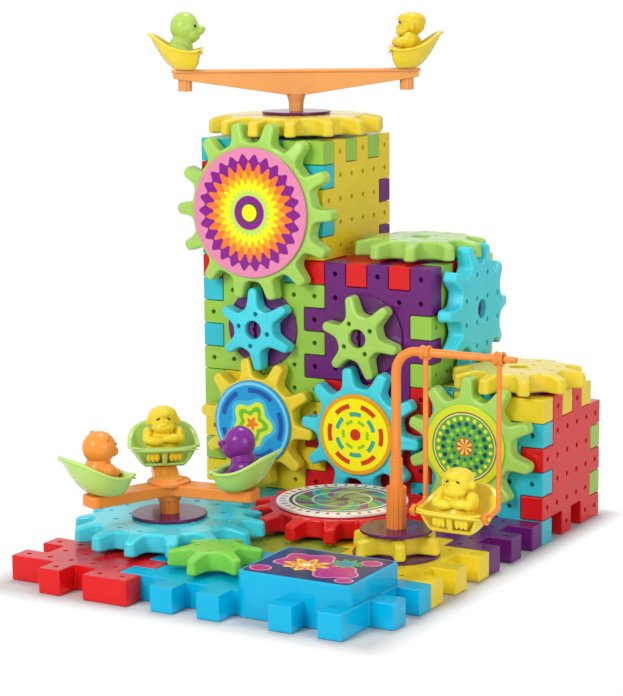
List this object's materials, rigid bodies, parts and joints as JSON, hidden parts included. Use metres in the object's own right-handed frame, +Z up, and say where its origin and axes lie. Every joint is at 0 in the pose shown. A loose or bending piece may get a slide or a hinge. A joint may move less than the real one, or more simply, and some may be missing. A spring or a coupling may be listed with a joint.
{
  "type": "motorised_gear_building_toy",
  "caption": "Plastic motorised gear building toy: castle-edged plates in stepped towers, meshing finger gears, a seesaw, a carousel and a swing with seated animal figures",
  "frame": {"origin": "middle of the base underside, on the surface it stands on", "axes": "+Z up, +X to the right along the front edge, +Y to the back"},
  "size_m": [0.2652, 0.2812, 0.2751],
  "materials": {
    "red": "gloss",
    "brightBlue": "gloss",
    "teal": "gloss",
    "lightGreen": "gloss",
    "leafGreen": "gloss",
    "yellow": "gloss",
    "amber": "gloss",
    "purple": "gloss",
    "orange": "gloss",
    "pink": "gloss",
    "olive": "gloss",
    "black": "gloss"
  },
  "bodies": {
    "frame": {"base_plate_front_left": "red", "base_plate_middle_left": "red", "base_plate_back_left": "teal", "base_plate_centre": "olive", "base_plate_back_centre": "red", "base_plate_right": "amber", "base_plate_back_right": "purple", "front_wall_lower_left": "amber", "front_wall_lower_centre": "red", "front_wall_lower_right": "teal", "front_wall_middle_left": "lightGreen", "front_wall_middle_right": "purple", "front_wall_upper": "teal", "right_wall_lower": "red", "right_wall_middle": "lightGreen", "right_wall_upper": "amber", "deck_right": "amber", "deck_centre": "red", "deck_left": "lightGreen", "left_wall_lower": "lightGreen", "left_wall_middle": "teal", "left_wall_upper": "red", "back_wall_lower_left": "amber", "back_wall_lower_centre": "teal", "back_wall_lower_right": "lightGreen", "back_wall_middle_left": "red", "back_wall_middle_right": "amber", "back_wall_upper": "purple", "motor_housing": "brightBlue"},
    "motor_wheel": {"motor_gear": "leafGreen"},
    "carousel_wheel": {"carousel_gear": "teal", "carousel_arms": "orange", "carousel_seat_right": "lightGreen", "carousel_seat_back": "lightGreen", "carousel_seat_left": "lightGreen"},
    "pinwheel_wheel": {"pinwheel_gear": "red", "pinwheel_disc": "purple"},
    "swing_wheel": {"swing_gear": "yellow", "swing_post": "orange"},
    "upper_wheel": {"upper_gear": "lightGreen", "cover_disc_upper": "pink"},
    "idler_left_wheel": {"idler_gear_left": "teal"},
    "lower_left_wheel": {"lower_gear_left": "yellow", "cover_disc_left": "brightBlue"},
    "lower_centre_wheel": {"lower_gear_centre": "teal", "cover_disc_centre": "yellow"},
    "lower_right_wheel": {"lower_gear_right": "lightGreen", "cover_disc_right": "leafGreen"},
    "idler_centre_wheel": {"idler_gear_centre": "lightGreen"},
    "seesaw_wheel": {"seesaw_gear": "yellow", "seesaw_beam": "orange", "seesaw_seat_right": "yellow", "seesaw_seat_left": "yellow"},
    "deck_centre_wheel": {"deck_gear_centre": "lightGreen"},
    "deck_right_wheel": {"deck_gear_right": "yellow"},
    "side_wheel": {"side_gear": "teal"},
    "swing": {"swing_rod_left": "orange", "swing_rod_right": "orange", "swing_seat": "yellow"},
    "switch": {"power_switch": "black"}
  },
  "joints": [
    {"name": "motor_wheel_turn", "type": "hinge", "parent": "frame", "child": "motor_wheel", "pos_m": [-0.0064, -0.096, 0.01925], "axis": [0, 0, 1], "continuous": true},
    {"name": "carousel_wheel_turn", "type": "hinge", "parent": "frame", "child": "carousel_wheel", "pos_m": [-0.0576, -0.0576, 0.01925], "axis": [0, 0, 1], "continuous": true},
    {"name": "pinwheel_wheel_turn", "type": "hinge", "parent": "frame", "child": "pinwheel_wheel", "pos_m": [0.0064, 0.0064, 0.01925], "axis": [0, 0, 1], "continuous": true},
    {"name": "swing_wheel_turn", "type": "hinge", "parent": "frame", "child": "swing_wheel", "pos_m": [0.0576, -0.032, 0.01925], "axis": [0, 0, 1], "continuous": true},
    {"name": "upper_wheel_turn", "type": "hinge", "parent": "frame", "child": "upper_wheel", "pos_m": [-0.0704, 0.051, 0.16625], "axis": [0, -1, 0], "continuous": true},
    {"name": "idler_left_wheel_turn", "type": "hinge", "parent": "frame", "child": "idler_left_wheel", "pos_m": [-0.0704, 0.051, 0.10225], "axis": [0, -1, 0], "continuous": true},
    {"name": "lower_left_wheel_turn", "type": "hinge", "parent": "frame", "child": "lower_left_wheel", "pos_m": [-0.0704, 0.051, 0.05105], "axis": [0, -1, 0], "continuous": true},
    {"name": "lower_centre_wheel_turn", "type": "hinge", "parent": "frame", "child": "lower_centre_wheel", "pos_m": [-0.0064, 0.051, 0.05105], "axis": [0, -1, 0], "continuous": true},
    {"name": "lower_right_wheel_turn", "type": "hinge", "parent": "frame", "child": "lower_right_wheel", "pos_m": [0.0576, 0.051, 0.05105], "axis": [0, -1, 0], "continuous": true},
    {"name": "idler_centre_wheel_turn", "type": "hinge", "parent": "frame", "child": "idler_centre_wheel", "pos_m": [-0.0064, 0.051, 0.10225], "axis": [0, -1, 0], "continuous": true},
    {"name": "seesaw_wheel_turn", "type": "hinge", "parent": "frame", "child": "seesaw_wheel", "pos_m": [-0.0704, 0.096, 0.21125], "axis": [0, 0, 1], "continuous": true},
    {"name": "deck_centre_wheel_turn", "type": "hinge", "parent": "frame", "child": "deck_centre_wheel", "pos_m": [0.0064, 0.096, 0.14725], "axis": [0, 0, 1], "continuous": true},
    {"name": "deck_right_wheel_turn", "type": "hinge", "parent": "frame", "child": "deck_right_wheel", "pos_m": [0.0704, 0.0832, 0.08325], "axis": [0, 0, 1], "continuous": true},
    {"name": "side_wheel_turn", "type": "hinge", "parent": "frame", "child": "side_wheel", "pos_m": [0.0386, 0.096, 0.11505], "axis": [1, 0, 0], "continuous": true},
    {"name": "swing_swing", "type": "hinge", "parent": "swing_wheel", "child": "swing", "pos_m": [0.0928, -0.032, 0.11375], "axis": [1, 0, 0], "range_deg": [-25, 25]},
    {"name": "power_switch_slide", "type": "slide", "parent": "frame", "child": "switch", "axis": [1, 0, 0], "range_m": [-0.0024, 0.0024]}
  ],
  "couplings": [
    {"joint": "motor_wheel_turn", "follows": "carousel_wheel_turn", "ratio": -2.3333},
    {"joint": "pinwheel_wheel_turn", "follows": "carousel_wheel_turn", "ratio": -1},
    {"joint": "swing_wheel_turn", "follows": "carousel_wheel_turn", "ratio": 2.3333},
    {"joint": "upper_wheel_turn", "follows": "carousel_wheel_turn", "ratio": -1},
    {"joint": "idler_left_wheel_turn", "follows": "carousel_wheel_turn", "ratio": 2.3333},
    {"joint": "lower_left_wheel_turn", "follows": "carousel_wheel_turn", "ratio": -1.4},
    {"joint": "lower_centre_wheel_turn", "follows": "carousel_wheel_turn", "ratio": 1.4},
    {"joint": "lower_right_wheel_turn", "follows": "carousel_wheel_turn", "ratio": -1.4},
    {"joint": "idler_centre_wheel_turn", "follows": "carousel_wheel_turn", "ratio": -2.3333},
    {"joint": "seesaw_wheel_turn", "follows": "carousel_wheel_turn", "ratio": 1},
    {"joint": "deck_centre_wheel_turn", "follows": "carousel_wheel_turn", "ratio": 1.4},
    {"joint": "deck_right_wheel_turn", "follows": "carousel_wheel_turn", "ratio": 1.4},
    {"joint": "side_wheel_turn", "follows": "carousel_wheel_turn", "ratio": -1.4}
  ]
}
